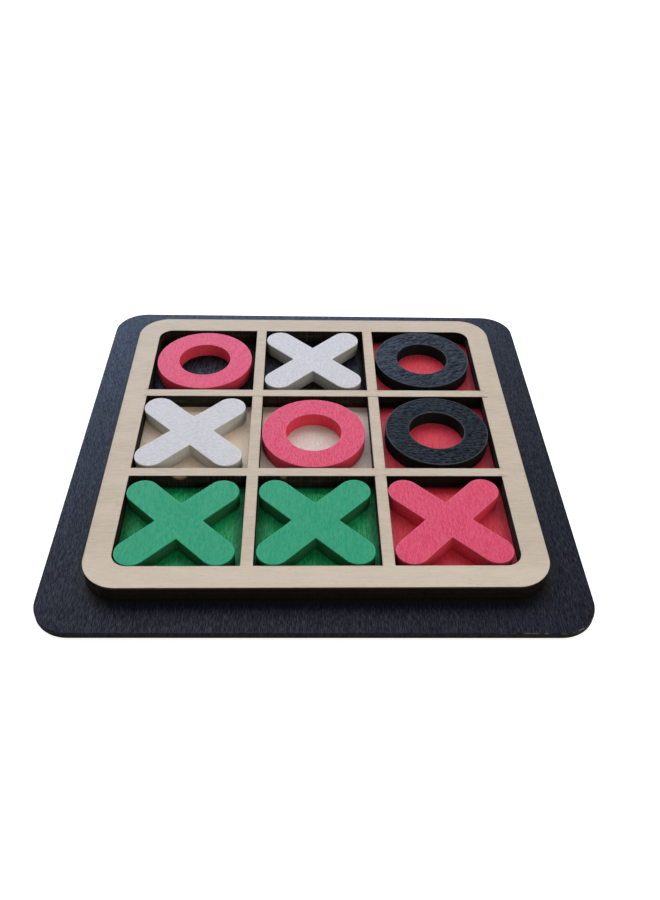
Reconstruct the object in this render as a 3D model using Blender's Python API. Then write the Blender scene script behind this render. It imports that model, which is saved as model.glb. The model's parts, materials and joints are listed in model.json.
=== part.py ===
"""Tic tac toe board with nine loose pieces, all flat shapes cut from thin plywood.

A stained base board carries thin coloured floor sheets. A one-piece grid frame is glued over
them and makes nine square cells. Four rings and five crosses sit in the cells and lift out.

Frame of the model: metres, +Z up, +X to the player's right, +Y away from the player. The
origin is the centre of the base board's underside.
"""

import math

import bmesh
import bpy
from mathutils import Matrix

MM = 0.001

# Base board. The frame was glued on slightly askew, so the base is turned a little against it.
BASE_WIDTH = 201.2 * MM
BASE_DEPTH = 200.2 * MM
BASE_THICKNESS = 2.7 * MM
BASE_CORNER_RADIUS = 14.3 * MM
BASE_TURN = -0.36

# Grid frame: a square plate with a border and two dividers each way
FRAME_SIDE = 171.0 * MM
FRAME_CORNER_RADIUS = 13.8 * MM
BORDER_WIDTH = 10.1 * MM
DIVIDER_WIDTH = 4.7 * MM
WINDOW_CORNER_RADIUS = 6.2 * MM
CELL_DEPTH = 6.5 * MM

# Floor sheets, between the base board and the grid frame
FLOOR_THICKNESS = 0.5 * MM
FLOOR_SETBACK = 1.0 * MM
FLOOR_JOINT = 0.3 * MM

# Loose pieces
RING_OUTER_RADIUS = 22.1 * MM
RING_HOLE_RADIUS = 11.9 * MM
CROSS_BAR_WIDTH = 13.0 * MM
CROSS_SPAN = 57.3 * MM

# Clearances
GLUE_LINE = 0.05 * MM
REST_GAP = 0.1 * MM

# Facets in each kind of arc
PLATE_CORNER_FACETS = 12
WINDOW_CORNER_FACETS = 8
RING_FACETS = 72
CROSS_TIP_FACETS = 16

# Derived sizes and heights
CELL_SIDE = (FRAME_SIDE - 2 * BORDER_WIDTH - 2 * DIVIDER_WIDTH) / 3
PITCH = CELL_SIDE + DIVIDER_WIDTH
FLOOR_BOTTOM = BASE_THICKNESS + GLUE_LINE
FLOOR_TOP = FLOOR_BOTTOM + FLOOR_THICKNESS
FRAME_BOTTOM = FLOOR_TOP + GLUE_LINE
FRAME_TOP = FLOOR_TOP + CELL_DEPTH
PIECE_BOTTOM = FLOOR_TOP + REST_GAP
PIECE_THICKNESS = FRAME_TOP - PIECE_BOTTOM

# Colours as linear RGB
COLOURS = {
    "black_stain": (0.024, 0.028, 0.038),
    "natural": (0.56, 0.49, 0.40),
    "bare_floor": (0.50, 0.44, 0.37),
    "green_stain": (0.012, 0.13, 0.045),
    "red_stain": (0.42, 0.035, 0.050),
    "pink_paint": (0.70, 0.075, 0.16),
    "white_paint": (0.62, 0.62, 0.66),
    "green_paint": (0.030, 0.30, 0.15),
    "black_paint": (0.030, 0.036, 0.044),
}
WOOD_ROUGHNESS = 0.6

# The nine pieces: name, shape, colour, column and row from the centre cell, then how far each
# one lies from its cell's centre to the right and to the back in millimetres, and its turn in
# degrees
PIECES = (
    ("ring_pink_back_left", "ring", "pink_paint", -1, 1, -0.1, -0.4, 0.0),
    ("cross_white_back_centre", "cross", "white_paint", 0, 1, -1.0, 0.3, 0.0),
    ("ring_black_back_right", "ring", "black_paint", 1, 1, -0.8, 1.1, 0.0),
    ("cross_white_middle_left", "cross", "white_paint", -1, 0, -1.2, -0.1, 0.0),
    ("ring_pink_centre", "ring", "pink_paint", 0, 0, -1.0, -0.9, 0.0),
    ("ring_black_middle_right", "ring", "black_paint", 1, 0, 0.3, 0.6, 0.0),
    ("cross_green_front_left", "cross", "green_paint", -1, -1, -1.0, -1.1, 0.0),
    ("cross_green_front_centre", "cross", "green_paint", 0, -1, -0.7, -0.8, 0.3),
    ("cross_pink_front_right", "cross", "pink_paint", 1, -1, -1.0, -0.5, 0.9),
)


def arc(centre_x, centre_y, radius, start, sweep, facets):
    """Points along a circular arc, angles in degrees, both ends included."""
    points = []
    for step in range(facets + 1):
        angle = math.radians(start + sweep * step / facets)
        points.append((centre_x + radius * math.cos(angle), centre_y + radius * math.sin(angle)))
    return points


def rectangle(left, right, front, back, radii, facets):
    """Outline of a rectangle, anticlockwise from its back right corner.

    radii holds the four corner radii in that order; a radius of zero is a sharp corner.
    """
    corners = ((right, back), (left, back), (left, front), (right, front))
    inward = ((-1, -1), (1, -1), (1, 1), (-1, 1))
    points = []
    for index, (x, y) in enumerate(corners):
        radius = radii[index]
        if radius == 0:
            points.append((x, y))
            continue
        centre_x = x + inward[index][0] * radius
        centre_y = y + inward[index][1] * radius
        points += arc(centre_x, centre_y, radius, 90 * index, 90, facets)
    return points


def centred(width, depth, radius, facets):
    """Outline of a centred rectangle with four equal round corners."""
    return rectangle(-width / 2, width / 2, -depth / 2, depth / 2, (radius,) * 4, facets)


def circle(radius, facets):
    """Outline of a centred circle."""
    return arc(0, 0, radius, 0, 360, facets)[:-1]


def cross():
    """Outline of two crossed bars with round ends, lying on the diagonals."""
    half_width = CROSS_BAR_WIDTH / 2
    reach = CROSS_SPAN / 2 - half_width
    crotch = half_width * math.sqrt(2)
    points = []
    for quarter in range(4):
        heading = 45 + 90 * quarter
        tip_x = reach * math.cos(math.radians(heading))
        tip_y = reach * math.sin(math.radians(heading))
        points += arc(tip_x, tip_y, half_width, heading - 90, 180, CROSS_TIP_FACETS)
        between = math.radians(heading + 45)
        points.append((crotch * math.cos(between), crotch * math.sin(between)))
    return points


def window(column, row):
    """Outline of one cell. Only the corner nearest the frame's own corner is round."""
    x = column * PITCH
    y = row * PITCH
    half = CELL_SIDE / 2
    outer_corners = ((1, 1), (-1, 1), (-1, -1), (1, -1))
    radii = [WINDOW_CORNER_RADIUS if corner == (column, row) else 0 for corner in outer_corners]
    return rectangle(x - half, x + half, y - half, y + half, radii, WINDOW_CORNER_FACETS)


def add_loop(bm, outline, height):
    """Adds a closed loop of edges at one height and returns them."""
    vertices = [bm.verts.new((x, y, height)) for x, y in outline]
    return [bm.edges.new((v, vertices[i - 1])) for i, v in enumerate(vertices)]


def plate(outline, holes, bottom, top):
    """Mesh of a flat plate with straight sides and through holes."""
    bm = bmesh.new()
    edges = add_loop(bm, outline, bottom)
    for hole in holes:
        edges += add_loop(bm, hole, bottom)
    bmesh.ops.triangle_fill(bm, use_beauty=True, use_dissolve=False, edges=edges)
    extruded = bmesh.ops.extrude_face_region(bm, geom=bm.faces[:])
    raised = [item for item in extruded["geom"] if isinstance(item, bmesh.types.BMVert)]
    bmesh.ops.transform(bm, matrix=Matrix.Translation((0, 0, top - bottom)), verts=raised)
    bmesh.ops.recalc_face_normals(bm, faces=bm.faces[:])
    mesh = bpy.data.meshes.new("plate")
    bm.to_mesh(mesh)
    bm.free()
    mesh.shade_smooth()
    mesh.set_sharp_from_angle(angle=math.radians(35))
    return mesh


def material(colour):
    """The material of one colour, made once and shared."""
    existing = bpy.data.materials.get(colour)
    if existing:
        return existing
    made = bpy.data.materials.new(colour)
    made.use_nodes = True
    shader = made.node_tree.nodes["Principled BSDF"]
    shader.inputs["Base Color"].default_value = (*COLOURS[colour], 1)
    shader.inputs["Roughness"].default_value = WOOD_ROUGHNESS
    shader.inputs["Metallic"].default_value = 0
    return made


def add_part(name, mesh, colour, parent):
    """Links one named sub-part with its own mesh and material."""
    part = bpy.data.objects.new(name, mesh)
    mesh.name = name
    mesh.materials.append(material(colour))
    part.parent = parent
    bpy.context.scene.collection.objects.link(part)
    return part


def add_base_board(board):
    outline = centred(BASE_WIDTH, BASE_DEPTH, BASE_CORNER_RADIUS, PLATE_CORNER_FACETS)
    base = add_part("base_board", plate(outline, [], 0, BASE_THICKNESS), "black_stain", board)
    base.rotation_euler.z = math.radians(BASE_TURN)


def add_grid_frame(board):
    outline = centred(FRAME_SIDE, FRAME_SIDE, FRAME_CORNER_RADIUS, PLATE_CORNER_FACETS)
    windows = [window(column, row) for row in (-1, 0, 1) for column in (-1, 0, 1)]
    add_part("grid_frame", plate(outline, windows, FRAME_BOTTOM, FRAME_TOP), "natural", board)


def add_floor_sheets(board):
    """Three sheets under the two left columns, one per row, and one under the right column."""
    edge = FRAME_SIDE / 2 - FLOOR_SETBACK
    radius = FRAME_CORNER_RADIUS - FLOOR_SETBACK
    seam = PITCH / 2
    half_joint = FLOOR_JOINT / 2
    left_limits = (-edge, seam - half_joint)
    sheets = (
        ("floor_red", "red_stain", (seam + half_joint, edge), (-edge, edge), (1, 0, 0, 1)),
        ("floor_green", "green_stain", left_limits, (-edge, -seam - half_joint), (0, 0, 1, 0)),
        ("floor_bare", "bare_floor", left_limits, (half_joint - seam, seam - half_joint), (0, 0, 0, 0)),
        ("floor_black", "black_stain", left_limits, (seam + half_joint, edge), (0, 1, 0, 0)),
    )
    for name, colour, (left, right), (front, back), rounded in sheets:
        radii = [radius * flag for flag in rounded]
        outline = rectangle(left, right, front, back, radii, PLATE_CORNER_FACETS)
        add_part(name, plate(outline, [], FLOOR_BOTTOM, FLOOR_TOP), colour, board)


def piece_mesh(shape):
    """Mesh of a loose piece about its own centre, with its underside at height zero."""
    if shape == "ring":
        hole = circle(RING_HOLE_RADIUS, RING_FACETS)
        return plate(circle(RING_OUTER_RADIUS, RING_FACETS), [hole], 0, PIECE_THICKNESS)
    return plate(cross(), [], 0, PIECE_THICKNESS)


def add_pieces(board):
    """Each piece's origin is the centre of its underside, on the line it lifts along."""
    for name, shape, colour, column, row, shift_x, shift_y, turn in PIECES:
        piece = add_part(name, piece_mesh(shape), colour, board)
        piece.location = (column * PITCH + shift_x * MM, row * PITCH + shift_y * MM, PIECE_BOTTOM)
        piece.rotation_euler.z = math.radians(turn)


def main():
    for existing in list(bpy.data.objects):
        bpy.data.objects.remove(existing)
    board = bpy.data.objects.new("board", None)
    bpy.context.scene.collection.objects.link(board)
    add_base_board(board)
    add_floor_sheets(board)
    add_grid_frame(board)
    add_pieces(board)


main()
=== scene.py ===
"""Looks of the tic tac toe board.

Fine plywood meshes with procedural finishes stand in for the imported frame's plain solids.
"""

import json
import math
import random
from collections import namedtuple

import bmesh
import bpy
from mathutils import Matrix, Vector


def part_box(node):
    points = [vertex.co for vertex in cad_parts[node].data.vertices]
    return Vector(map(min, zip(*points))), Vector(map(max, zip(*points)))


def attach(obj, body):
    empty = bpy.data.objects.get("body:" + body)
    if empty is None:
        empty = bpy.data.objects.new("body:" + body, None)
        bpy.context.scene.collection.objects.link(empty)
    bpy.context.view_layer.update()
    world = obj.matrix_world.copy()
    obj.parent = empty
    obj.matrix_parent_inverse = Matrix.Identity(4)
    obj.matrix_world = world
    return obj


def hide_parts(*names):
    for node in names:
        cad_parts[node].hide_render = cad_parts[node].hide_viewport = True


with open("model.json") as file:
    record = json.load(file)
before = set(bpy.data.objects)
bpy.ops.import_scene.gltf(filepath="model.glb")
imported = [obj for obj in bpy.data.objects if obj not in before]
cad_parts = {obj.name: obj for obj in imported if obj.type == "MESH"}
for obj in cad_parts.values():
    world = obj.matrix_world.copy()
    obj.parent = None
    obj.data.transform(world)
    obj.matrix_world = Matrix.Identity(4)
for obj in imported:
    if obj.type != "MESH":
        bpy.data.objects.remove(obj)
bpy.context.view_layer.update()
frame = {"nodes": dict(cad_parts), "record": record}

MM = 0.001

# Outlines, in millimetres. The outer sizes of the grid frame, the floor sheets and the rings come
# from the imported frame.
BASE_WIDTH = 201.2
BASE_DEPTH = 200.2
BASE_CORNER_RADIUS = 14.3
FRAME_CORNER_RADIUS = 13.8
BORDER_WIDTH = 10.1
DIVIDER_WIDTH = 4.7
WINDOW_CORNER_RADIUS = 6.2
SHEET_CORNER_RADIUS = 12.8
KERF_CORNER_RADIUS = 0.15
RING_HOLE_RADIUS = 11.9
CROSS_BAR_WIDTH = 13.0
CROSS_SPAN = 57.3

# The corners of a rectangle, anticlockwise from the back right: the side each lies on in X and Y
CORNERS = ((1, 1), (-1, 1), (-1, -1), (1, -1))

# Fineness of the meshes: the usual step along an outline in millimetres, and facets in an arc
OUTLINE_STEP = 0.8
CORNER_FACETS = 28
WINDOW_CORNER_FACETS = 14
KERF_FACETS = 3
ARRIS_FACETS = 3

# How a kind of part is cut: its plies, how far every second ply burns back, the radius of the
# arrises, and how far in from the arris its faces carry rings of points, in millimetres
Cut = namedtuple("Cut", "plies recess arris rings")
BASE_CUT = Cut(3, 0.05, 0.22, (0.4, 1.2, 3.0))
FRAME_CUT = Cut(5, 0.05, 0.1, (0.35, 0.9, 2.0))
SHEET_CUT = Cut(1, 0.0, 0.06, (0.3,))
PIECE_CUT = Cut(5, 0.012, 0.28, (0.3, 0.9, 2.0))

# Half the height over which one ply gives way to the next and how far inside the arris a face's
# first ring of points lies, in millimetres, then the depth of the ribs as a share of the recess
PLY_STEP = 0.05
ARRIS_MARGIN = 0.06
RIB_SHARE = 0.3

# Parts that lie askew, in degrees. On the ring only the grain shows it.
TURNS = {
    "base_board": -0.36,
    "cross_green_front_centre": 0.3,
    "cross_pink_front_right": 0.9,
    "ring_black_back_right": 22.0,
}

# Parts whose face grain runs front to back. On the others it runs left to right.
GRAIN_FRONT_TO_BACK = {
    "base_board", "floor_black", "floor_bare", "floor_green", "floor_red",
    "cross_white_back_centre", "cross_green_front_left", "cross_green_front_centre",
    "cross_pink_front_right", "ring_pink_back_left", "ring_pink_centre",
}

# Grain patterns differ from part to part by up to this shift along, across and through the wood
GRAIN_SHIFT = (37.3, 91.7, 13.1)

# Spots where the cut walls stayed bare: place along X, half width and strength, and their height
BARE_PATCHES = ((-55.2, 3.2, 0.85), (-13.4, 1.5, 0.35))
BARE_PATCH_HEIGHT = 2.2

# How far the painted shade reaches on the floor sheets from the side walls and the back walls of
# the cells
WALL_SHADE_REACH = 6.0
BACK_WALL_SHADE_REACH = 2.2

# Where along Y the grid frame's front border turns paler, the start and the full change, and how
# far two of its cuts run on into its right border
FRONT_BORDER = (-70, -78)
OVERCUT_REACH = 3.0

# Where in X and in Y the base board's worn front right corner begins and is worn most
WORN_CORNER_X = (60, 85)
WORN_CORNER_Y = (-70, -90)

# The darkest of the laser's char, and of the painted shade along the cells' walls, as linear RGB
CHAR_BLACK = (0.0044, 0.0040, 0.0030)
WALL_SHADE_BLACK = (0.005, 0.004, 0.003)

# How shiny the crests of the grain are and the sheen everywhere, as shares of a finish's gloss
CREST_SHEEN = 1.2
EVEN_SHEEN = 0.4

# Studio, in metres and degrees. The camera's place is from the middle of the grid frame's top.
CAMERA_FROM_FRAME_TOP = (-0.00552, -0.27611, 0.23664)
CAMERA_ANGLES = (48.095, -1.311, -1.276)
LENS = 33.87
CLIP_START = 0.01
CLIP_END = 20
FLOOR_REACH = 4.0
FLOOR_DROP = 0.0001
FLOOR_GREY = 0.75
FLOOR_GLOW = 0.75
AMBIENT = 0.30
BACKDROP = 1.1
AMBIENT_TINT = (1, 0.97, 0.92)
WINDOW_TINT = (0.97, 0.98, 1.0)
ROOM_TINT = (1.0, 0.96, 0.88)
SKY_TINT = (0.40, 0.60, 1.0)

BODY_OF = {
    node: body
    for body, nodes in frame["record"]["behaviour"]["bodies"].items()
    for node in nodes
}


def limits(node):
    """A node's box in millimetres, as its low and high corners."""
    low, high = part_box(node)
    return low / MM, high / MM


def cell_side():
    """The width of one of the grid frame's nine windows, in millimetres."""
    low, high = limits("grid_frame")
    return (high.x - low.x - 2 * BORDER_WIDTH - 2 * DIVIDER_WIDTH) / 3


# ---------------------------------------------------------------- outlines

def arc(centre_x, centre_y, radius, start, sweep, facets):
    """Points on a circular arc, angles in degrees, both ends included."""
    angles = [math.radians(start + sweep * i / facets) for i in range(facets + 1)]
    return [(centre_x + radius * math.cos(a), centre_y + radius * math.sin(a)) for a in angles]


def rectangle(sides, radius, facets=CORNER_FACETS, rounded=(1, 1, 1, 1)):
    """Anticlockwise outline from the back right corner; sides are left, right, front and back.

    A corner that isn't rounded is as sharp as the laser's kerf leaves it.
    """
    left, right, front, back = sides
    points = []
    for index, (side_x, side_y) in enumerate(CORNERS):
        corner_radius = radius if rounded[index] else KERF_CORNER_RADIUS
        corner_facets = facets if rounded[index] else KERF_FACETS
        x = (right if side_x > 0 else left) - side_x * corner_radius
        y = (back if side_y > 0 else front) - side_y * corner_radius
        points += arc(x, y, corner_radius, 90 * index, 90, corner_facets)
    return points


def circle(radius):
    return arc(0, 0, radius, 0, 360, round(2 * math.pi * radius / OUTLINE_STEP))[:-1]


def cross():
    """Two crossed bars with round ends, lying on the diagonals."""
    half_width = CROSS_BAR_WIDTH / 2
    reach = CROSS_SPAN / 2 - half_width
    crotch = half_width * math.sqrt(2)
    points = []
    for quarter in range(4):
        heading = 45 + 90 * quarter
        tip = (reach * math.cos(math.radians(heading)), reach * math.sin(math.radians(heading)))
        points += arc(*tip, half_width, heading - 90, 180, CORNER_FACETS)
        between = math.radians(heading + 45)
        points.append((crotch * math.cos(between), crotch * math.sin(between)))
    return points


def spaced(points):
    """The same outline, with its long straight stretches cut into short ones."""
    result = []
    for index, (x, y) in enumerate(points):
        next_x, next_y = points[(index + 1) % len(points)]
        length = math.hypot(next_x - x, next_y - y)
        stretches = max(1, round(length / OUTLINE_STEP))
        for k in range(stretches):
            share = k / stretches
            result.append((x + (next_x - x) * share, y + (next_y - y) * share))
    return result


def inward(points):
    """For each point, how far it moves when the edge moves one millimetre into the material."""
    moves = []
    for index, (x, y) in enumerate(points):
        before = Vector((x, y)) - Vector(points[index - 1])
        after = Vector(points[(index + 1) % len(points)]) - Vector((x, y))
        before.normalize()
        after.normalize()
        normal_before = Vector((-before.y, before.x))
        normal_after = Vector((-after.y, after.x))
        moves.append((normal_before + normal_after) / (1 + normal_before.dot(normal_after)))
    return moves


# ---------------------------------------------------------------- plates

# One row of points round a cut edge: how far in from the outline it lies, its height, 1 where it
# takes the wall's ribs or else 0, and its value of the "edge" attribute
Row = namedtuple("Row", "inset height rib edge")


def edge_profile(bottom, top, cut):
    """The section of a cut edge as rows of points, from the underside to the top."""
    insets = [cut.arris, cut.arris + ARRIS_MARGIN] + [cut.arris + ring for ring in cut.rings]
    lower = [Row(inset, bottom, 0, inset) for inset in reversed(insets)]
    for step in range(1, ARRIS_FACETS + 1):
        angle = math.radians(90 * step / ARRIS_FACETS)
        inset = cut.arris * (1 - math.sin(angle))
        height = bottom + cut.arris * (1 - math.cos(angle))
        lower.append(Row(inset, height, 1 if step == ARRIS_FACETS else 0, 0))
    wall = []
    for ply in range(1, cut.plies):
        height = bottom + (top - bottom) * ply / cut.plies
        wall.append(Row(cut.recess * ((ply - 1) % 2), height - PLY_STEP, 1, 0))
        wall.append(Row(cut.recess * (ply % 2), height + PLY_STEP, 1, 0))
    upper = [row._replace(height=bottom + top - row.height) for row in reversed(lower)]
    return lower + wall + upper


def add_rows(bm, points, profile, rib_depth, chance):
    """Adds the points of one cut edge and returns them row by row."""
    edge_layer = bm.verts.layers.float["edge"]
    moves = inward(points)
    ribs = [chance.uniform(-rib_depth, rib_depth) for _ in points]
    rows = []
    for inset, height, rib, edge in profile:
        vertices = []
        for (x, y), move, depth in zip(points, moves, ribs):
            shift = move * (inset + rib * depth)
            vertex = bm.verts.new(((x + shift.x) * MM, (y + shift.y) * MM, height * MM))
            vertex[edge_layer] = edge
            vertices.append(vertex)
        rows.append(vertices)
    return rows


def add_strips(bm, rows, profile):
    """Joins each row of points to the next with faces."""
    for index in range(len(rows) - 1):
        lower, upper = rows[index], rows[index + 1]
        is_wall = profile[index].rib == 1 and profile[index + 1].rib == 1
        for k in range(len(lower)):
            face = bm.faces.new((lower[k - 1], lower[k], upper[k], upper[k - 1]))
            face.material_index = 1 if is_wall else 0


def plate(name, outline, holes, bottom, top, cut):
    """Mesh of a plywood plate with rounded arrises, ply lines and ribbed laser-cut walls.

    All sizes are in millimetres. Slot 0 takes the faces and arrises and slot 1 the walls. The
    point attribute "edge" holds the distance from the cut edge.
    """
    chance = random.Random(name)
    profile = edge_profile(bottom, top, cut)
    bm = bmesh.new()
    bm.verts.layers.float.new("edge")
    cap_edges = ([], [])
    for points in [outline] + [list(reversed(hole)) for hole in holes]:
        rows = add_rows(bm, spaced(points), profile, RIB_SHARE * cut.recess, chance)
        add_strips(bm, rows, profile)
        for edges, row in zip(cap_edges, (rows[0], rows[-1])):
            edges += [bm.edges.get((row[k - 1], row[k])) for k in range(len(row))]
    for edges in cap_edges:
        bmesh.ops.triangle_fill(bm, use_beauty=True, use_dissolve=False, edges=edges)
    bmesh.ops.recalc_face_normals(bm, faces=bm.faces[:])
    mesh = bpy.data.meshes.new(name)
    bm.to_mesh(mesh)
    bm.free()
    mesh.shade_smooth()
    return mesh


def mark_grain(mesh, name, turned):
    """Stores each point's place in the wood: millimetres along, across and through the grain."""
    chance = random.Random("grain of " + name)
    shift = [chance.uniform(-1, 1) * reach for reach in GRAIN_SHIFT]
    values = []
    for vertex in mesh.vertices:
        x, y, z = (c / MM for c in vertex.co)
        along, across = (y, -x) if turned else (x, y)
        values += [along + shift[0], across + shift[1], z + shift[2]]
    mesh.attributes.new("grain", "FLOAT_VECTOR", "POINT").data.foreach_set("vector", values)


def show(node, mesh, materials, location=(0, 0, 0), turn=0.0):
    """Places a fine mesh in a CAD node's stead."""
    mark_grain(mesh, node, node in GRAIN_FRONT_TO_BACK)
    for material in materials:
        mesh.materials.append(material)
    piece = bpy.data.objects.new(node + "_wood", mesh)
    bpy.context.scene.collection.objects.link(piece)
    piece.location = location
    piece.rotation_euler.z = math.radians(turn)
    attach(piece, BODY_OF[node])
    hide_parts(node)


# ---------------------------------------------------------------- node graphs

class Graph:
    """A material and the few node operations that the finishes below are made of."""

    def __init__(self, name):
        self.material = bpy.data.materials.new(name)
        self.material.use_nodes = True
        self.tree = self.material.node_tree
        self.shader = self.tree.nodes["Principled BSDF"]
        self.grain = self.attribute("grain").outputs["Vector"]
        self.edge = self.attribute("edge").outputs["Fac"]

    def node(self, kind, **settings):
        made = self.tree.nodes.new(kind)
        for key, value in settings.items():
            setattr(made, key, value)
        return made

    def attribute(self, name):
        return self.node("ShaderNodeAttribute", attribute_type="GEOMETRY", attribute_name=name)

    def feed(self, socket, value):
        if isinstance(value, bpy.types.NodeSocket):
            self.tree.links.new(value, socket)
        elif hasattr(value, "__len__") and len(value) == 3 and socket.type == "RGBA":
            socket.default_value = (*value, 1)
        else:
            socket.default_value = value

    def math(self, operation, *values):
        made = self.node("ShaderNodeMath", operation=operation)
        for socket, value in zip(made.inputs, values):
            self.feed(socket, value)
        return made.outputs[0]

    def chain(self, operation, values):
        """Combines any number of values, two at a time."""
        total = values[0]
        for value in values[1:]:
            total = self.math(operation, total, value)
        return total

    def add(self, *values):
        return self.chain("ADD", values)

    def times(self, *values):
        return self.chain("MULTIPLY", values)

    def least(self, *values):
        return self.chain("MINIMUM", values)

    def greatest(self, *values):
        return self.chain("MAXIMUM", values)

    def minus(self, first, second):
        return self.math("SUBTRACT", first, second)

    def size(self, value):
        """The value without its sign."""
        return self.math("ABSOLUTE", value)

    def gap(self, first, second):
        """How far apart two values are."""
        return self.size(self.minus(first, second))

    def diagonal(self, across, along):
        """The length of a line that runs so far across and so far along."""
        return self.math("SQRT", self.add(self.times(across, across), self.times(along, along)))

    def scaled(self, vector, scale):
        made = self.node("ShaderNodeVectorMath", operation="MULTIPLY")
        self.feed(made.inputs[0], vector)
        self.feed(made.inputs[1], scale)
        return made.outputs[0]

    def noise(self, along, across, through=None, detail=2.0, roughness=0.5, distortion=0.0):
        """Noise from 0 to 1 whose features have the given lengths in millimetres in the wood."""
        lengths = (along, across, through or across)
        vector = self.scaled(self.grain, [1 / length for length in lengths])
        made = self.node("ShaderNodeTexNoise")
        self.feed(made.inputs["Vector"], vector)
        made.inputs["Scale"].default_value = 1.0
        made.inputs["Detail"].default_value = detail
        made.inputs["Roughness"].default_value = roughness
        made.inputs["Distortion"].default_value = distortion
        return made.outputs["Fac"]

    def step(self, value, low, high):
        """A smooth change from 0 below low to 1 above high, or the reverse when low is larger."""
        made = self.node("ShaderNodeMapRange", interpolation_type="SMOOTHSTEP", clamp=True)
        flipped = low > high
        self.feed(made.inputs["Value"], value)
        made.inputs["From Min"].default_value = min(low, high)
        made.inputs["From Max"].default_value = max(low, high)
        made.inputs["To Min"].default_value = 1.0 if flipped else 0.0
        made.inputs["To Max"].default_value = 0.0 if flipped else 1.0
        return made.outputs["Result"]

    def mix(self, share, first, second):
        """The first colour with this share of the second mixed in."""
        made = self.node("ShaderNodeMix", data_type="RGBA", blend_type="MIX", clamp_factor=True)
        self.feed(made.inputs["Factor"], share)
        self.feed(made.inputs["A"], first)
        self.feed(made.inputs["B"], second)
        return made.outputs["Result"]

    def place(self):
        """The point's place in its own object, in millimetres."""
        texture = self.node("ShaderNodeTexCoord")
        scaled = self.scaled(texture.outputs["Object"], (1 / MM,) * 3)
        parts = self.node("ShaderNodeSeparateXYZ")
        self.feed(parts.inputs[0], scaled)
        return parts.outputs

    def facing(self):
        """The parts of the surface's normal along X, Y and Z."""
        parts = self.node("ShaderNodeSeparateXYZ")
        self.feed(parts.inputs[0], self.node("ShaderNodeNewGeometry").outputs["Normal"])
        return parts.outputs

    def finish(self, colour, roughness, height, depth, specular):
        """Sets the surface. Height from 0 to 1 stands for depth in millimetres of relief."""
        bump = self.node("ShaderNodeBump")
        self.feed(bump.inputs["Height"], height)
        bump.inputs["Strength"].default_value = 1.0
        bump.inputs["Distance"].default_value = depth * MM
        self.feed(self.shader.inputs["Base Color"], colour)
        self.feed(self.shader.inputs["Roughness"], roughness)
        self.feed(self.shader.inputs["Normal"], bump.outputs["Normal"])
        self.feed(self.shader.inputs["Specular IOR Level"], specular)
        return self.material


def fibres(graph, length, width, waver=0.0):
    """Fine streaks along the grain, most of them length by width millimetres."""
    long = graph.noise(4 * length, 2 * width, detail=1.0)
    short = graph.noise(length, width, detail=2.0, roughness=0.6, distortion=waver)
    return graph.add(graph.times(long, 0.2), graph.times(short, 0.8))


def crest_gloss(graph, crest, gloss):
    """Sheen that sits mostly on the crests of the grain, with a mean of about gloss."""
    return graph.add(graph.times(crest, CREST_SHEEN * gloss), EVEN_SHEEN * gloss)


def pores(graph):
    """Short dark dashes where the veneer's pores are cut open."""
    return graph.step(graph.noise(2.4, 0.25, detail=1.0), 0.64, 0.76)


# ---------------------------------------------------------------- the grid frame's finishes

def birch():
    """The bare face of the grid frame."""
    graph = Graph("birch_face")
    pale, warm, bleached = (0.60, 0.515, 0.418), (0.44, 0.36, 0.27), (0.66, 0.56, 0.48)
    front_tone, pore_tone = (0.72, 0.63, 0.53), (0.33, 0.24, 0.16)
    figure = graph.noise(45.0, 7.0, detail=3.0, distortion=0.6)
    streak = fibres(graph, length=6.0, width=0.42)
    tone = graph.step(graph.add(graph.times(figure, 0.25), graph.times(streak, 0.75)), 0.62, 0.38)
    cloud = graph.step(graph.noise(14.0, 8.0, 8.0, detail=1.0), 0.35, 0.65)
    front = graph.step(graph.place()[1], *FRONT_BORDER)
    dashes = pores(graph)
    colour = graph.mix(graph.times(tone, 0.5), pale, warm)
    colour = graph.mix(graph.times(cloud, 0.20), colour, bleached)
    colour = graph.mix(graph.times(front, 0.35), colour, front_tone)
    colour = graph.mix(graph.times(dashes, 0.4), colour, pore_tone)
    colour = cutter_marks(graph, colour)
    relief = graph.add(graph.times(streak, 0.7), graph.times(dashes, -0.3))
    return graph.finish(colour, roughness=0.62, height=relief, depth=0.04, specular=0.1)


def cutter_marks(graph, colour):
    """The same colour with the laser's smoke haze and burns along the cut edges."""
    haze_tone, corner_tone = (0.36, 0.24, 0.13), (0.36, 0.25, 0.15)
    hairline_tone, burn_tone = (0.06, 0.034, 0.02), (0.060, 0.028, 0.016)
    haze = graph.step(graph.edge, 1.0, 0.1)
    patchy = graph.step(graph.noise(9.0, 9.0, detail=2.0), 0.4, 0.7)
    burn = graph.step(graph.edge, 0.14, 0.02)
    foot = limits("grid_frame")[0].z
    burnt_foot = graph.step(graph.place()[2], foot + 1.0, foot + 0.5)
    colour = graph.mix(graph.times(haze, patchy, 0.25), colour, haze_tone)
    colour = graph.mix(corner_smoke(graph), colour, corner_tone)
    colour = graph.mix(overcuts(graph), colour, hairline_tone)
    colour = graph.mix(graph.times(burn, 0.85), colour, burn_tone)
    return graph.mix(burnt_foot, colour, CHAR_BLACK)


def corner_smoke(graph):
    """Haze round the sharp window corners, stronger at some than at others."""
    cell = cell_side()
    inner = (cell / 2, cell / 2 + DIVIDER_WIDTH)
    outer = 1.5 * cell + DIVIDER_WIDTH
    x, y = graph.place()[:2]
    width, depth = graph.size(x), graph.size(y)
    across = graph.least(*[graph.gap(width, line) for line in (*inner, outer)])
    along = graph.least(*[graph.gap(depth, line) for line in inner])
    near = graph.step(graph.diagonal(across, along), 2.2, 0.3)
    strength = graph.step(graph.noise(30.0, 30.0, 30.0, detail=0.0), 0.45, 0.65)
    return graph.times(near, strength, 0.4)


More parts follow.
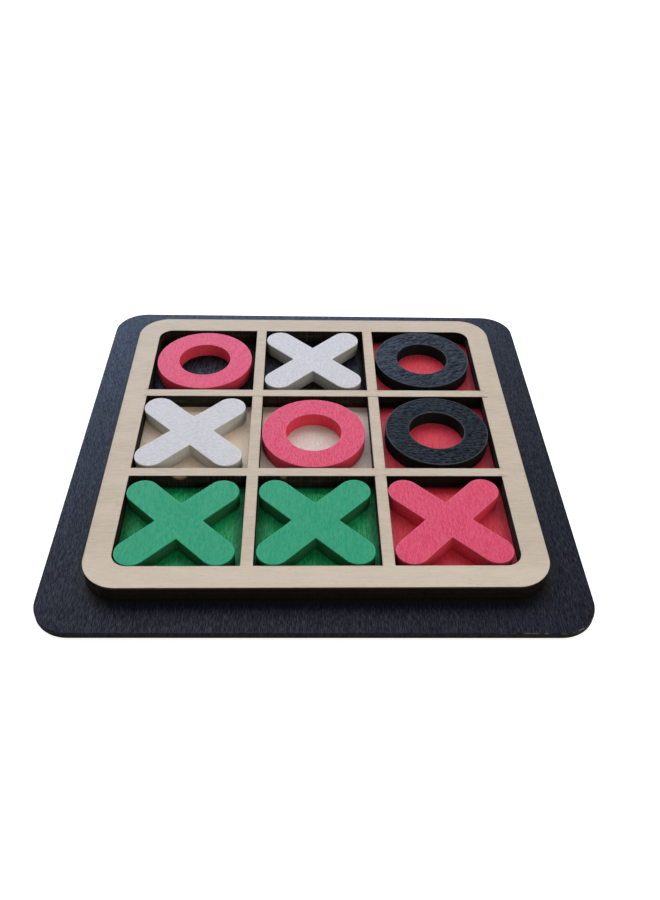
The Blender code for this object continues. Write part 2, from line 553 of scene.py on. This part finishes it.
def overcuts(graph):
    """Hairlines where two cuts ran on past the window corners, into the right border.

    They start at the left divider and are stronger from the middle of the right column on.
    """
    cell = cell_side()
    x, y = graph.place()[:2]
    divider_left = -cell / 2 - DIVIDER_WIDTH
    cuts = ((cell / 2, 1.0), (divider_left, 0.25))
    faded, full = 0.34, 0.22
    lines = []
    for place, share in cuts:
        lines.append(graph.times(graph.step(graph.gap(y, place), faded, full), share))
    end = 1.5 * cell + DIVIDER_WIDTH + OVERCUT_REACH
    started = graph.step(x, divider_left - 0.5, divider_left)
    going = graph.step(x, end, end - 0.5)
    strength = graph.add(graph.times(graph.step(x, cell, cell + DIVIDER_WIDTH), 0.45), 0.4)
    return graph.times(graph.greatest(*lines), going, started, strength)


def char():
    """Laser-cut walls: black outside below a brown rim, and browner inside the windows.

    The back walls of the right windows are as black as the outside.
    """
    graph = Graph("charred_wall")
    brown_rim, bare = (0.055, 0.030, 0.018), (0.58, 0.33, 0.19)
    x, y, height = graph.place()[:3]
    ribs = graph.noise(0.5, 0.5, 14.0, detail=2.0)
    blotches = graph.noise(6.0, 6.0, 6.0, detail=2.0)
    low, high = limits("grid_frame")
    off_middle = graph.gap(height, (low.z + high.z) / 2)
    band = graph.times(graph.step(off_middle, 1.0, 0.6), graph.step(blotches, 0.3, 0.7))
    outside = graph.step(graph.greatest(graph.size(x), graph.size(y)), high.x - 2.0, high.x - 1.0)
    right = graph.step(x, cell_side() / 2, cell_side() / 2 + DIVIDER_WIDTH)
    heavy = graph.times(right, graph.step(graph.facing()[1], -0.2, -0.7))
    inside = graph.minus(1.0, graph.greatest(outside, heavy))
    black = graph.mix(inside, CHAR_BLACK, (0.0090, 0.0078, 0.0056))
    brown = graph.mix(inside, (0.0100, 0.0078, 0.0050), (0.038, 0.028, 0.016))
    ply = graph.mix(inside, (0.016, 0.012, 0.008), (0.066, 0.052, 0.036))
    colour = graph.mix(graph.step(ribs, 0.40, 0.80), black, brown)
    colour = graph.mix(graph.times(band, 0.35), colour, ply)
    rim = graph.step(height, high.z - 1.2, high.z - 0.3)
    colour = graph.mix(graph.times(rim, outside), colour, brown_rim)
    colour = graph.mix(bare_patches(graph, x, y, height), colour, bare)
    return graph.finish(colour, roughness=0.8, height=ribs, depth=0.05, specular=0.12)


def bare_patches(graph, x, y, height):
    """Spots the burn missed, at the top of the front cells' back walls."""
    top = limits("grid_frame")[1].z
    wall = -cell_side() / 2 - DIVIDER_WIDTH
    at_wall = graph.step(graph.gap(y, wall), 0.5, 0.3)
    rise = graph.times(graph.minus(height, top), 1 / BARE_PATCH_HEIGHT)
    spots = []
    for place, half_width, strength in BARE_PATCHES:
        run = graph.times(graph.minus(x, place), 1 / half_width)
        spots.append(graph.times(graph.step(graph.diagonal(run, rise), 1.2, 0.4), strength))
    return graph.times(graph.greatest(*spots), at_wall)


# ---------------------------------------------------------------- floor and base finishes

def stain(name, deep, light, gloss, wall_shade):
    """Wood stain: the colour sinks in more along some fibres than along others.

    The last argument gives how dark the painted shade makes the floor at the cells' left, right and
    back walls.
    """
    graph = Graph(name)
    streak = fibres(graph, length=2.4, width=0.42)
    cloud = graph.noise(40.0, 12.0, detail=2.0)
    tone = graph.step(graph.add(graph.times(streak, 0.85), graph.times(cloud, 0.15)), 0.38, 0.62)
    colour = graph.mix(tone, deep, light)
    wall_shading = painted_wall_shade(graph, *wall_shade)
    # Painted shade along the cells' walls darkens the floor and takes away its sheen there.
    colour = graph.mix(wall_shading, colour, WALL_SHADE_BLACK)
    sheen = graph.times(crest_gloss(graph, tone, gloss), graph.minus(1.0, wall_shading))
    return graph.finish(colour, roughness=0.45, height=streak, depth=0.04, specular=sheen)


def painted_wall_shade(graph, left, right, back):
    """Painted shade on the floor along the walls of every cell, as dark as given beside each wall.
    """
    wall = cell_side() / 2
    seam = wall + DIVIDER_WIDTH / 2
    across, along = (graph.math("WRAP", part, seam, -seam) for part in graph.place()[:2])
    near_left = graph.times(graph.step(across, WALL_SHADE_REACH - wall, -wall), left)
    near_right = graph.times(graph.step(across, wall - WALL_SHADE_REACH, wall), right)
    near_back = graph.times(graph.step(along, wall - BACK_WALL_SHADE_REACH, wall), back)
    return graph.greatest(graph.add(near_left, near_right), near_back)


def bare_wood():
    """The unstained floor sheet: tan under the left column and paler towards the middle one.

    The left column's warmer, brighter tan is painted light for the warm bounce in that cell's
    shade.
    """
    graph = Graph("bare_wood")
    streak = fibres(graph, length=2.4, width=0.36)
    tone = graph.step(streak, 0.38, 0.62)
    paler = graph.step(graph.place()[0], -cell_side() / 2 - DIVIDER_WIDTH, -cell_side() / 4)
    # The left column's warmer, brighter tan is painted light for the warm bounce in that cell's
    # shade.
    deep = graph.mix(paler, (0.76, 0.60, 0.44), (0.65, 0.56, 0.49))
    light = graph.mix(paler, (0.84, 0.69, 0.54), (0.74, 0.665, 0.605))
    colour = graph.mix(tone, deep, light)
    sheen = crest_gloss(graph, tone, gloss=0.09)
    return graph.finish(colour, roughness=0.45, height=streak, depth=0.03, specular=sheen)


def off_frame(graph):
    """How far a point of the base board is from the round-cornered grid frame, in millimetres."""
    inner = limits("grid_frame")[1].x - FRAME_CORNER_RADIUS
    across, along = (
        graph.greatest(graph.minus(graph.size(part), inner), 0.0) for part in graph.place()[:2]
    )
    return graph.minus(graph.diagonal(across, along), FRAME_CORNER_RADIUS)


def base_stain():
    """Black stain on the base board, greyer beside the grid frame as painted shade: the colour of
    the frame's shadow on the board.
    """
    graph = Graph("base_stain")
    deep, light, frame_shadow_grey = (0.0036, 0.0044, 0.0086), (0.020, 0.024, 0.044), (0.0115, 0.0115, 0.0090)
    bare = (0.17, 0.14, 0.11)
    streak = fibres(graph, length=2.7, width=0.24)
    fleck = graph.noise(1.2, 0.24, detail=1.0)
    tone = graph.step(graph.add(graph.times(streak, 0.8), graph.times(fleck, 0.2)), 0.41, 0.67)
    # Beside the grid frame the stain turns grey: painted shade for the frame's shadow on the board.
    frame_shadow_share = graph.step(off_frame(graph), 4.0, 1.0)
    colour = graph.mix(tone, deep, light)
    colour = graph.mix(graph.times(frame_shadow_share, 0.8), colour, frame_shadow_grey)
    colour = graph.mix(worn_edge(graph), colour, bare)
    sheen = crest_gloss(graph, tone, gloss=0.066)
    return graph.finish(colour, roughness=0.42, height=streak, depth=0.05, specular=sheen)


def worn_edge(graph):
    """Scuffs along the base board's arrises, most of them at its front right corner."""
    x, y = graph.place()[:2]
    corner = graph.times(graph.step(x, *WORN_CORNER_X), graph.step(y, *WORN_CORNER_Y))
    scuffs = graph.step(graph.noise(4.0, 4.0, 4.0, detail=3.0), 0.46, 0.60)
    amount = graph.add(graph.times(corner, 0.9), 0.06)
    return graph.times(graph.step(graph.edge, 0.45, 0.1), scuffs, amount)


def stained_edge():
    """The base board's cut edge: stain over scorched plies."""
    graph = Graph("stained_edge")
    ribs = graph.noise(0.5, 0.5, 10.0, detail=2.0)
    stained, scorched = (0.010, 0.008, 0.007), (0.030, 0.021, 0.016)
    colour = graph.mix(graph.step(ribs, 0.3, 0.75), stained, scorched)
    return graph.finish(colour, roughness=0.6, height=ribs, depth=0.05, specular=0.1)


# ---------------------------------------------------------------- the loose pieces' finishes

def paint(name, colour, thin, streaks, spread, relief, gloss, edge_wear_and_highlight, edge_wear_and_highlight_share):
    """Brushed paint on a veneer face: the grain shows through, and the paler arrises are partly
    wear and partly a painted highlight.

    Streaks gives their length and width in millimetres and, where they waver, by how much. Spread
    is how gently they pass from one tone to the other.
    """
    graph = Graph(name)
    streak = fibres(graph, *streaks)
    crest = graph.step(streak, 0.5 - spread, 0.5 + spread)
    shade = graph.mix(crest, thin, colour)
    # Paler arrises: partly worn paint, partly a painted highlight where the edges catch the light.
    rubbed_and_lit = graph.times(graph.step(graph.edge, 0.65, 0.25), edge_wear_and_highlight_share)
    shade = graph.mix(rubbed_and_lit, shade, edge_wear_and_highlight)
    peel = graph.noise(0.6, 0.6, 0.6, detail=1.0)
    height = graph.add(graph.times(streak, 0.8), graph.times(peel, 0.2))
    sheen = crest_gloss(graph, crest, gloss)
    return graph.finish(shade, roughness=0.45, height=height, depth=relief, specular=sheen)


def painted_edge(name, colour, deep):
    """Paint over a cut wall: thirsty end grain leaves it matt and a little uneven."""
    graph = Graph(name)
    ribs = graph.noise(0.6, 0.6, 8.0, detail=2.0)
    shade = graph.mix(graph.times(graph.step(ribs, 0.4, 0.75), 0.5), colour, deep)
    return graph.finish(shade, roughness=0.6, height=ribs, depth=0.04, specular=0.1)


def black_paint(name, relief, gloss):
    return paint(
        name, colour=(0.016, 0.022, 0.030), thin=(0.0010, 0.0013, 0.0018),
        streaks=(2.2, 0.44, 0.4), spread=0.08, relief=relief, gloss=gloss,
        edge_wear_and_highlight=(0.09, 0.10, 0.11), edge_wear_and_highlight_share=0.5,
    )


def white_paint():
    return paint(
        "white_paint", colour=(0.645, 0.635, 0.675), thin=(0.525, 0.52, 0.57),
        streaks=(1.6, 0.28), spread=0.11, relief=0.03, gloss=0.07,
        edge_wear_and_highlight=(0.72, 0.71, 0.72), edge_wear_and_highlight_share=0.5,
    )


def pink_paint():
    return paint(
        "pink_paint", colour=(0.74, 0.074, 0.162), thin=(0.62, 0.048, 0.115),
        streaks=(1.5, 0.29), spread=0.13, relief=0.03, gloss=0.07,
        edge_wear_and_highlight=(0.84, 0.20, 0.30), edge_wear_and_highlight_share=0.25,
    )


def green_paint():
    return paint(
        "green_paint", colour=(0.0138, 0.324, 0.163), thin=(0.0100, 0.294, 0.145),
        streaks=(1.7, 0.30), spread=0.14, relief=0.03, gloss=0.07,
        edge_wear_and_highlight=(0.05, 0.44, 0.27), edge_wear_and_highlight_share=0.35,
    )


# ---------------------------------------------------------------- the board

def make_base():
    low, high = limits("base_board")
    centre = (low + high) / 2
    sides = (-BASE_WIDTH / 2, BASE_WIDTH / 2, -BASE_DEPTH / 2, BASE_DEPTH / 2)
    outline = rectangle(sides, BASE_CORNER_RADIUS)
    mesh = plate("base_board", outline, [], low.z, high.z, BASE_CUT)
    place = (centre.x * MM, centre.y * MM, 0)
    show("base_board", mesh, (base_stain(), stained_edge()), place, TURNS["base_board"])


def window(column, row):
    """Outline of one cell. Only the corner nearest the grid frame's own corner is round."""
    half = cell_side() / 2
    x = column * (cell_side() + DIVIDER_WIDTH)
    y = row * (cell_side() + DIVIDER_WIDTH)
    rounded = [corner == (column, row) for corner in CORNERS]
    sides = (x - half, x + half, y - half, y + half)
    return rectangle(sides, WINDOW_CORNER_RADIUS, WINDOW_CORNER_FACETS, rounded)


def make_grid():
    low, high = limits("grid_frame")
    outline = rectangle((low.x, high.x, low.y, high.y), FRAME_CORNER_RADIUS)
    windows = [window(column, row) for row in (-1, 0, 1) for column in (-1, 0, 1)]
    mesh = plate("grid_frame", outline, windows, low.z, high.z, FRAME_CUT)
    show("grid_frame", mesh, (birch(), char()))


def make_sheet(node, finish, rounded):
    low, high = limits(node)
    sides = (low.x, high.x, low.y, high.y)
    outline = rectangle(sides, SHEET_CORNER_RADIUS, CORNER_FACETS, rounded)
    mesh = plate(node, outline, [], low.z, high.z, SHEET_CUT)
    show(node, mesh, (finish, finish))


def make_sheets():
    """The floor sheets. Each is rounded at the corners it shares with the grid frame."""
    black = stain(
        "black_stain", deep=(0.0020, 0.0022, 0.0040), light=(0.019, 0.020, 0.030), gloss=0.04,
        wall_shade=(0.4, 0.9, 0.7),
    )
    green = stain(
        "green_stain", deep=(0.009, 0.25, 0.072), light=(0.013, 0.42, 0.142), gloss=0.05,
        wall_shade=(0.55, 0.55, 0.85),
    )
    red = stain(
        "red_stain", deep=(0.68, 0.046, 0.074), light=(0.76, 0.061, 0.100), gloss=0.05,
        wall_shade=(0.0, 0.25, 0.75),
    )
    make_sheet("floor_black", black, (0, 1, 0, 0))
    make_sheet("floor_bare", bare_wood(), (0, 0, 0, 0))
    make_sheet("floor_green", green, (0, 0, 1, 0))
    make_sheet("floor_red", red, (1, 0, 0, 1))


def make_piece(node, finish_face, finish_edge):
    low, high = limits(node)
    centre = (low + high) / 2
    if node.startswith("ring"):
        outline, holes = circle((high.x - low.x) / 2), [circle(RING_HOLE_RADIUS)]
    else:
        outline, holes = cross(), []
    mesh = plate(node, outline, holes, 0, high.z - low.z, PIECE_CUT)
    place = (centre.x * MM, centre.y * MM, low.z * MM)
    show(node, mesh, (finish_face, finish_edge), place, TURNS.get(node, 0.0))


def make_pieces():
    """The rings and crosses. Two of them differ a little from the others of their colour; the back
    centre cross's darker walls are painted shade.
    """
    pink_edge = painted_edge("pink_edge", (0.73, 0.058, 0.100), (0.55, 0.040, 0.063))
    white_edge = painted_edge("white_edge", (0.565, 0.556, 0.512), (0.42, 0.412, 0.362))
    # Darker walls for the back centre cross: painted shade where less light bounces onto them.
    shaded_white_edge_finish = painted_edge("shaded_white_edge", (0.41, 0.40, 0.365), (0.29, 0.285, 0.245))
    green_edge = painted_edge("green_edge", (0.021, 0.138, 0.051), (0.013, 0.082, 0.030))
    black_edge = painted_edge("black_edge", (0.005, 0.0095, 0.0095), (0.009, 0.015, 0.014))
    white_face = white_paint()
    by_colour = {
        "pink": (pink_paint(), pink_edge),
        "white": (white_face, white_edge),
        "green": (green_paint(), green_edge),
        "black": (black_paint("black_paint", 0.22, 0.052), black_edge),
    }
    odd = {
        "ring_black_middle_right": (black_paint("rough_black_paint", 0.27, 0.036), black_edge),
        "cross_white_back_centre": (white_face, shaded_white_edge_finish),
    }
    for node in frame["nodes"]:
        if node.startswith(("ring", "cross")):
            make_piece(node, *(odd.get(node) or by_colour[node.split("_")[1]]))


# ---------------------------------------------------------------- studio

def make_camera():
    data = bpy.data.cameras.new("camera")
    data.lens = LENS
    data.clip_start = CLIP_START
    data.clip_end = CLIP_END
    camera = bpy.data.objects.new("camera", data)
    bpy.context.scene.collection.objects.link(camera)
    low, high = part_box("grid_frame")
    frame_top = Vector(((low.x + high.x) / 2, (low.y + high.y) / 2, high.z))
    camera.location = frame_top + Vector(CAMERA_FROM_FRAME_TOP)
    camera.rotation_euler = [math.radians(angle) for angle in CAMERA_ANGLES]
    bpy.context.scene.camera = camera


def make_floor():
    """A plain white floor. It shows nearly white and still takes a faint shadow."""
    mesh = bpy.data.meshes.new("floor")
    reach = FLOOR_REACH
    corners = [(-reach, -reach, 0), (reach, -reach, 0), (reach, reach, 0), (-reach, reach, 0)]
    mesh.from_pydata(corners, [], [(0, 1, 2, 3)])
    floor = bpy.data.objects.new("floor", mesh)
    floor.location.z = -FLOOR_DROP
    bpy.context.scene.collection.objects.link(floor)
    material = bpy.data.materials.new("floor_white")
    material.use_nodes = True
    nodes, links = material.node_tree.nodes, material.node_tree.links
    shader = nodes["Principled BSDF"]
    shader.inputs["Base Color"].default_value = (FLOOR_GREY, FLOOR_GREY, FLOOR_GREY, 1)
    shader.inputs["Roughness"].default_value = 0.9
    shader.inputs["Specular IOR Level"].default_value = 0.0
    shader.inputs["Emission Color"].default_value = (1, 1, 1, 1)
    path = nodes.new("ShaderNodeLightPath")
    glow = nodes.new("ShaderNodeMath")
    glow.operation = "MULTIPLY"
    glow.inputs[1].default_value = FLOOR_GLOW
    links.new(path.outputs["Is Camera Ray"], glow.inputs[0])
    links.new(glow.outputs[0], shader.inputs["Emission Strength"])
    mesh.materials.append(material)


def make_world():
    """Even light from all round, brighter where the camera sees it as the backdrop."""
    world = bpy.data.worlds.new("studio")
    world.use_nodes = True
    nodes, links = world.node_tree.nodes, world.node_tree.links
    background = nodes["Background"]
    path = nodes.new("ShaderNodeLightPath")
    brightness = nodes.new("ShaderNodeMix")
    brightness.data_type = "FLOAT"
    brightness.inputs["A"].default_value = AMBIENT
    brightness.inputs["B"].default_value = BACKDROP
    links.new(path.outputs["Is Camera Ray"], brightness.inputs["Factor"])
    links.new(brightness.outputs["Result"], background.inputs["Strength"])
    background.inputs["Color"].default_value = (*AMBIENT_TINT, 1)
    bpy.context.scene.world = world


def make_light(name, azimuth, elevation, distance, size, power, colour):
    """A soft box facing the board. Azimuth runs clockwise from +Y as seen from above."""
    data = bpy.data.lights.new(name, "AREA")
    data.shape = "RECTANGLE"
    data.size, data.size_y = size
    data.energy = power
    data.color = colour
    light = bpy.data.objects.new(name, data)
    turn, lift = math.radians(azimuth), math.radians(elevation)
    level = math.cos(lift)
    place = Vector((math.sin(turn) * level, math.cos(turn) * level, math.sin(lift))) * distance
    light.location = place
    light.rotation_euler = (-place).to_track_quat("-Z", "Y").to_euler()
    bpy.context.scene.collection.objects.link(light)
    return light


def make_lights():
    """A wide window at the back, a fill from the front right, and two lights seen only as sheen."""
    window_light = make_light(
        "window", azimuth=0, elevation=50, distance=4.0, size=(14.0, 2.45), power=278,
        colour=WINDOW_TINT,
    )
    window_light.visible_glossy = False
    window_sheen = make_light(
        "window_sheen", azimuth=-18, elevation=50, distance=4.0, size=(4.6, 2.45), power=150,
        colour=WINDOW_TINT,
    )
    window_sheen.visible_diffuse = False
    make_light(
        "room_fill", azimuth=138, elevation=24, distance=3.0, size=(3.4, 1.2), power=28,
        colour=ROOM_TINT,
    )
    sky_sheen = make_light(
        "sky_sheen", azimuth=-12, elevation=26, distance=4.0, size=(3.0, 1.2), power=170,
        colour=SKY_TINT,
    )
    sky_sheen.visible_diffuse = False


make_base()
make_grid()
make_sheets()
make_pieces()
make_camera()
make_floor()
make_world()
make_lights()
bpy.context.scene.view_settings.view_transform = "Standard"
